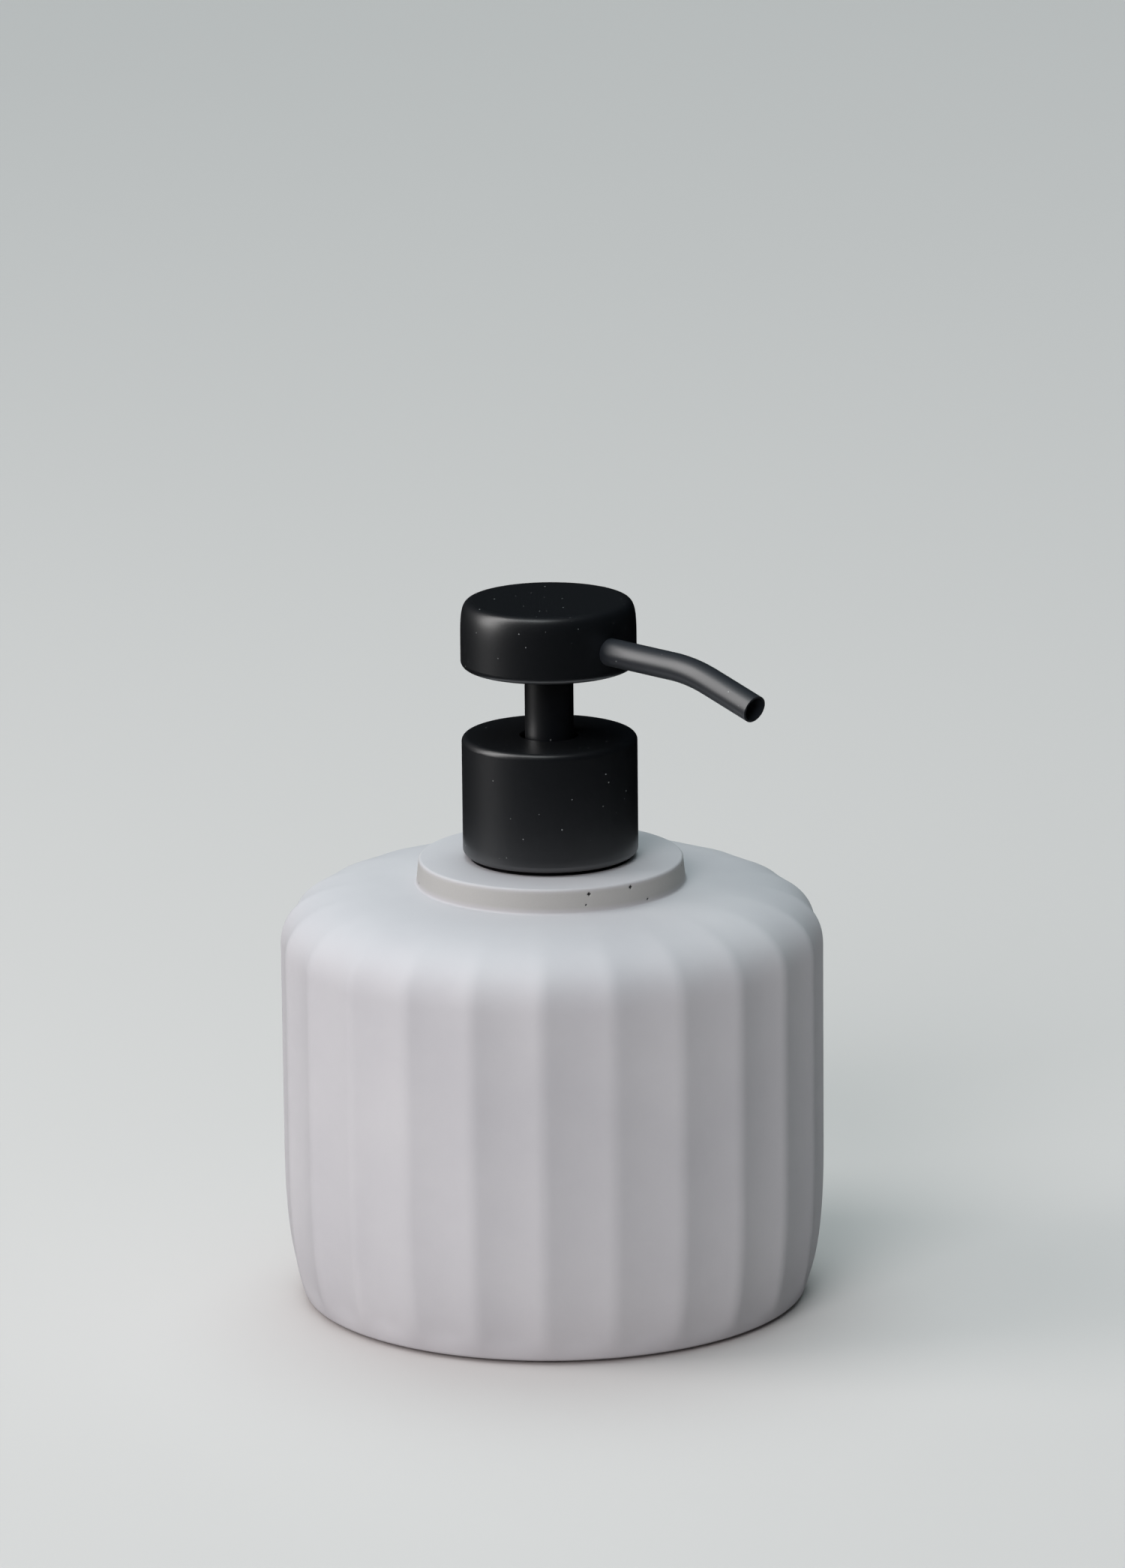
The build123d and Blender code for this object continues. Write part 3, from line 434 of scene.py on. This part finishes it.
def ridge_line():
    """The outline over the ridges, from the base edge to the foot of the disc, with its directions."""
    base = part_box("bottle_body")[0].z
    lean = Vector((math.cos(BASE_LEAN), math.sin(BASE_LEAN))) * FOOT_PULL
    low = bezier(
        (BASE_RADIUS, base), Vector((BASE_RADIUS, base)) + lean,
        (BODY_RADIUS, SIDE_LOW - SIDE_PULL_LOW), (BODY_RADIUS, SIDE_LOW), FOOT_STEPS,
    )
    tangent = BASE_EDGE * math.tan(BASE_LEAN / 2)
    low = [step for step in low if step[0].y > base + tangent * math.sin(BASE_LEAN)]
    heights = [SIDE_LOW + (SIDE_HIGH - SIDE_LOW) * k / SIDE_STEPS for k in range(SIDE_STEPS)]
    side = [(Vector((BODY_RADIUS, height)), Vector((0, 1))) for height in heights]
    high = bezier(
        (BODY_RADIUS, SIDE_HIGH), (BODY_RADIUS, SIDE_HIGH + SIDE_PULL_HIGH),
        (DISC_RADIUS + SHOULDER_PULL, SHOULDER_HEIGHT), (DISC_RADIUS, SHOULDER_HEIGHT), SHOULDER_STEPS,
    )
    return low + side + [step for step in high if step[0].x > DISC_RADIUS + SHOULDER_END]


def flute(angle):
    """Depth at an angle as a share of the full depth: a shallow scoop with softened ridges."""
    across = (angle - FLUTE_TURN) / math.tau * FLUTES
    u = abs((across % 1.0) * 2 - 1)
    scoop = 1 - RIDGE_SHARE
    return 1 - u * u / scoop if u < scoop else (1 - u) ** 2 / RIDGE_SHARE


def divided(outline, step):
    """The outline with its straight stretches cut into steps."""
    found = outline[:1]
    for a, b in zip(outline, outline[1:]):
        count = math.ceil((b - a).length / step)
        found += [a.lerp(b, k / count) for k in range(1, count + 1)]
    return found


def sink_pores(vertices, rows, pore_rows):
    """Sinks small round pits, where air bubbles burst in the casting, and says how deep each vertex lies."""
    tree = KDTree(len(vertices))
    for i, place in enumerate(vertices):
        tree.insert(place, i)
    tree.balance()
    chance = random.Random(PORE_SEED)
    depths = [0.0] * len(vertices)
    segments = len(vertices) // rows
    for _ in range(PORES):
        row = chance.choice(pore_rows)
        middle = vertices[chance.randrange(segments) * rows + row].copy()
        radius = chance.uniform(*PORE_RADIUS)
        inwards = -Vector((middle.x, middle.y, 0)).normalized()
        for _, i, distance in tree.find_range(middle, radius):
            depth = (1 - (distance / radius) ** 2) ** 0.5
            vertices[i] += inwards * depth * radius * PORE_STRETCH
            depths[i] = depth
    return depths


def disc_line(top):
    """The outline over the neck disc and down its bore."""
    points = rounded([
        (DISC_RADIUS + SHOULDER_END, SHOULDER_HEIGHT, 0),
        (DISC_RADIUS, SHOULDER_HEIGHT, DISC_FOOT_FILLET),
        (DISC_TOP_RADIUS, top, DISC_TOP_FILLET),
        (NECK_BORE, top, NECK_BORE_EDGE),
        (NECK_BORE, CAVITY_TOP, 0),
    ])[:-1]
    on_side = sum(p.x > DISC_SIDE for p in points)
    return divided(points[:on_side], SKIN_STEP) + points[on_side:]


def cavity_line(base, foot):
    """The outline down the cavity, over the seat of the base plate and out to the foot."""
    return rounded([
        (NECK_BORE, CAVITY_TOP, 0),
        (CAVITY_TOP_RADIUS, CAVITY_TOP, CAVITY_FILLET),
        (CAVITY_FOOT_RADIUS, SEAT_HEIGHT, 0),
        (SEAT_RADIUS, SEAT_HEIGHT, 0),
        (SEAT_RADIUS, base, SEAT_EDGE),
        (BASE_RADIUS, base, BASE_EDGE),
        (foot.x, foot.y, 0),
    ])[:-1]


def raw_share(point, top):
    """How raw the casting is there: fully on the disc's side, with soft limits."""
    if point.x <= DISC_SIDE or point.y <= SHOULDER_HEIGHT:
        return 0.0
    return max(min((point.y - SHOULDER_HEIGHT) / RAW_FADE_FOOT, (top - point.y) / RAW_FADE_TOP, 1), 0)


def cast_bottle():
    """The casting: fluted side and shoulder, neck disc, bore, cavity and plate seat in one closed skin."""
    low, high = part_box("bottle_body")
    outer = ridge_line()
    disc = disc_line(high.z)
    plain = disc + cavity_line(low.z, outer[0][0])
    segments = FLUTES * STEPS_PER_FLUTE
    rows = len(outer) + len(plain)
    vertices = []
    for s in range(segments):
        angle = math.tau * s / segments + FLUTE_TURN
        radial = Vector((math.cos(angle), math.sin(angle), 0))
        share = flute(angle)
        for point, along in outer:
            rise = min((point.y - low.z) / FLUTE_FADE, 1)
            depth = (
                FLUTE_DEPTH * share * point.x / BODY_RADIUS * along.y ** SHOULDER_FADE
                * rise * rise * (3 - 2 * rise)
            )
            vertices.append(radial * (point.x - depth * along.y) + Vector((0, 0, point.y + depth * along.x)))
        vertices += [radial * p.x + Vector((0, 0, p.y)) for p in plain]
    pore_rows = [
        len(outer) + i for i, p in enumerate(disc)
        if SHOULDER_HEIGHT + PORE_FREE_FOOT < p.y < high.z - PORE_FREE_TOP and p.x > DISC_SIDE
    ]
    depths = sink_pores(vertices, rows, pore_rows)
    faces = []
    for s in range(segments):
        a, b = s * rows, (s + 1) % segments * rows
        faces += [(a + i, b + i, b + (i + 1) % rows, a + (i + 1) % rows) for i in range(rows)]
    bottle = add_piece("cast_bottle", vertices, faces, "bottle", "cement", "bottle_body", sharp=50)
    raw = ([0.0] * len(outer) + [raw_share(p, high.z) for p in plain]) * segments
    for name, values in (("pit", depths), ("raw", raw)):
        bottle.data.attributes.new(name, "FLOAT", "POINT").data.foreach_set("value", values)


cast_bottle()


# ---------------------------------------------------------------- return spring
SPRING_WIRE = 0.5 * MM
SPRING_TURNS = 7.5
COIL_STEPS = 28  # to a turn
WIRE_SIDES = 10


def coil_spring():
    """The return spring as a wire coil."""
    low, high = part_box("return_spring")
    radius = radius_of("return_spring") - SPRING_WIRE
    start = low.z + SPRING_WIRE
    rise = high.z - SPRING_WIRE - start
    steps = int(SPRING_TURNS * COIL_STEPS)
    vertices, faces = [], []
    for k in range(steps + 1):
        turn = math.tau * SPRING_TURNS * k / steps
        out = Vector((math.cos(turn), math.sin(turn), 0))
        along = Vector((-out.y, out.x, rise / (math.tau * SPRING_TURNS * radius))).normalized()
        side = along.cross(out)
        middle = out * radius + Vector((0, 0, start + rise * k / steps))
        for j in range(WIRE_SIDES):
            around = math.tau * j / WIRE_SIDES
            vertices.append(middle + SPRING_WIRE * (math.cos(around) * out + math.sin(around) * side))
    for k in range(steps):
        for j in range(WIRE_SIDES):
            a, b = k * WIRE_SIDES + j, k * WIRE_SIDES + (j + 1) % WIRE_SIDES
            faces.append((a, b, b + WIRE_SIDES, a + WIRE_SIDES))
    faces.append(tuple(range(WIRE_SIDES))[::-1])
    faces.append(tuple(steps * WIRE_SIDES + j for j in range(WIRE_SIDES)))
    spring = add_piece("coil_spring", vertices, faces, "pump", "spring_steel", "return_spring")
    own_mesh(spring)


coil_spring()


# ---------------------------------------------------------------- floor and lights
FLOOR_SIZE = 12.0
FLOOR_SHADES = (0.63, 0.585, 0.575), (0.60, 0.557, 0.547)
BACKDROP_RADIUS = 5.9
BACKDROP_HEIGHT = 4.0
BACKDROP_SIDES = 64
BACKDROP_SHADES = (0.60, 0.62, 0.62), (0.57, 0.59, 0.59)
LAMP_AIM = Vector((0, 0, 60 * MM))
CEILING_FOCUS = 8.0  # power of the height above the horizon
CEILING_REST = 0.01  # share of the zenith's brightness that is everywhere


def make_floor():
    """A pale matte floor that leaves no mirror image in the glossy parts."""
    bpy.ops.mesh.primitive_plane_add(size=FLOOR_SIZE, location=(0, 0, 0))
    floor = bpy.context.object
    floor.name = "floor"
    n = Nodes("pale_floor")
    tone = n.remap(n.noise(0.004, 3), 0, 0.3)
    floor.data.materials.append(n.wire(n.mix(tone, *FLOOR_SHADES), roughness=0.7))
    floor.visible_glossy = False


def make_backdrop():
    """A pale round wall far off, for low views: it is only seen, and neither lights nor shades the object."""
    sides = BACKDROP_SIDES
    turns = [math.tau * k / sides for k in range(sides)]
    ring = [Vector((math.cos(turn), math.sin(turn), 0)) * BACKDROP_RADIUS for turn in turns]
    vertices = ring + [place + Vector((0, 0, BACKDROP_HEIGHT)) for place in ring]
    faces = [(k, (k + 1) % sides, (k + 1) % sides + sides, k + sides) for k in range(sides)]
    mesh = bpy.data.meshes.new("backdrop")
    mesh.from_pydata(vertices, [], faces)
    n = Nodes("pale_backdrop")
    tone = n.remap(n.noise(0.0005, 2), 0, 0.5)
    n.link(n.mix(tone, *BACKDROP_SHADES), n.shader.inputs["Emission Color"])
    n.shader.inputs["Emission Strength"].default_value = 1.0
    mesh.materials.append(n.wire((0, 0, 0), roughness=1.0))
    wall = bpy.data.objects.new("backdrop", mesh)
    bpy.context.scene.collection.objects.link(wall)
    for ray in ("diffuse", "glossy", "transmission", "volume_scatter", "shadow"):
        setattr(wall, "visible_" + ray, False)


def place_lamp(name, data, azimuth, elevation, distance=0.0):
    """Puts a lamp round the object, its azimuth counted from the camera's, and aims it at the object."""
    light = bpy.data.objects.new(name, data)
    towards = direction(CAMERA_AZIMUTH + math.radians(azimuth), math.radians(elevation))
    light.location = LAMP_AIM + towards * distance
    light.rotation_mode = "QUATERNION"
    light.rotation_quaternion = towards.to_track_quat("Z", "Y")
    bpy.context.scene.collection.objects.link(light)
    return light


def softbox(name, azimuth, elevation, distance, size, power, colour):
    """A rectangular area lamp, with a power in watts."""
    data = bpy.data.lights.new(name, "AREA")
    data.shape = "RECTANGLE"
    data.size, data.size_y = size
    data.energy = power
    data.color = colour
    place_lamp(name, data, azimuth, elevation, distance)


def soft_fill(name, azimuth, elevation, spread, power, colour):
    """A wide, even light that lifts matte surfaces and leaves no highlight on glossy ones."""
    data = bpy.data.lights.new(name, "SUN")
    data.angle = math.radians(spread)
    data.energy = power
    data.color = colour
    place_lamp(name, data, azimuth, elevation).visible_glossy = False


def world_math(tree, operation, value, *numbers):
    """A math node on a value, with its other inputs set to numbers."""
    node = tree.nodes.new("ShaderNodeMath")
    node.operation = operation
    tree.links.new(value, node.inputs[0])
    for k, number in enumerate(numbers, 1):
        node.inputs[k].default_value = number
    return node.outputs[0]


def ceiling_glow(strength, colour):
    """World light that grows towards the zenith, for matte surfaces only."""
    world = bpy.data.worlds.new("studio")
    bpy.context.scene.world = world
    world.use_nodes = True
    tree = world.node_tree
    place = tree.nodes.new("ShaderNodeTexCoord")
    split = tree.nodes.new("ShaderNodeSeparateXYZ")
    tree.links.new(place.outputs["Generated"], split.inputs[0])
    height = world_math(tree, "MAXIMUM", split.outputs["Z"], 0)
    towards_zenith = world_math(tree, "POWER", height, CEILING_FOCUS)
    level = world_math(tree, "MULTIPLY_ADD", towards_zenith, strength, strength * CEILING_REST)
    background = tree.nodes["Background"]
    background.inputs["Color"].default_value = (*colour, 1)
    tree.links.new(level, background.inputs["Strength"])
    world.cycles_visibility.glossy = False


def make_light():
    """A tall softbox from the left, a small one from above, a fill from the front and one from behind."""
    softbox(
        "key", azimuth=-86, elevation=31, distance=1.2, size=(0.58, 1.35),
        power=7.9, colour=(1.0, 0.985, 0.975),
    )
    softbox(
        "top", azimuth=-40, elevation=72, distance=1.2, size=(0.5, 0.5),
        power=1.5, colour=(0.92, 0.97, 0.98),
    )
    soft_fill("front_fill", azimuth=-22, elevation=28, spread=30, power=1.45, colour=(1.0, 0.985, 1.0))
    soft_fill("back_fill", azimuth=180, elevation=66, spread=40, power=1.05, colour=(0.82, 0.95, 0.96))
    ceiling_glow(strength=2.0, colour=(0.76, 0.94, 0.97))
    bpy.context.scene.view_settings.view_transform = "Standard"


make_floor()
make_backdrop()
make_light()
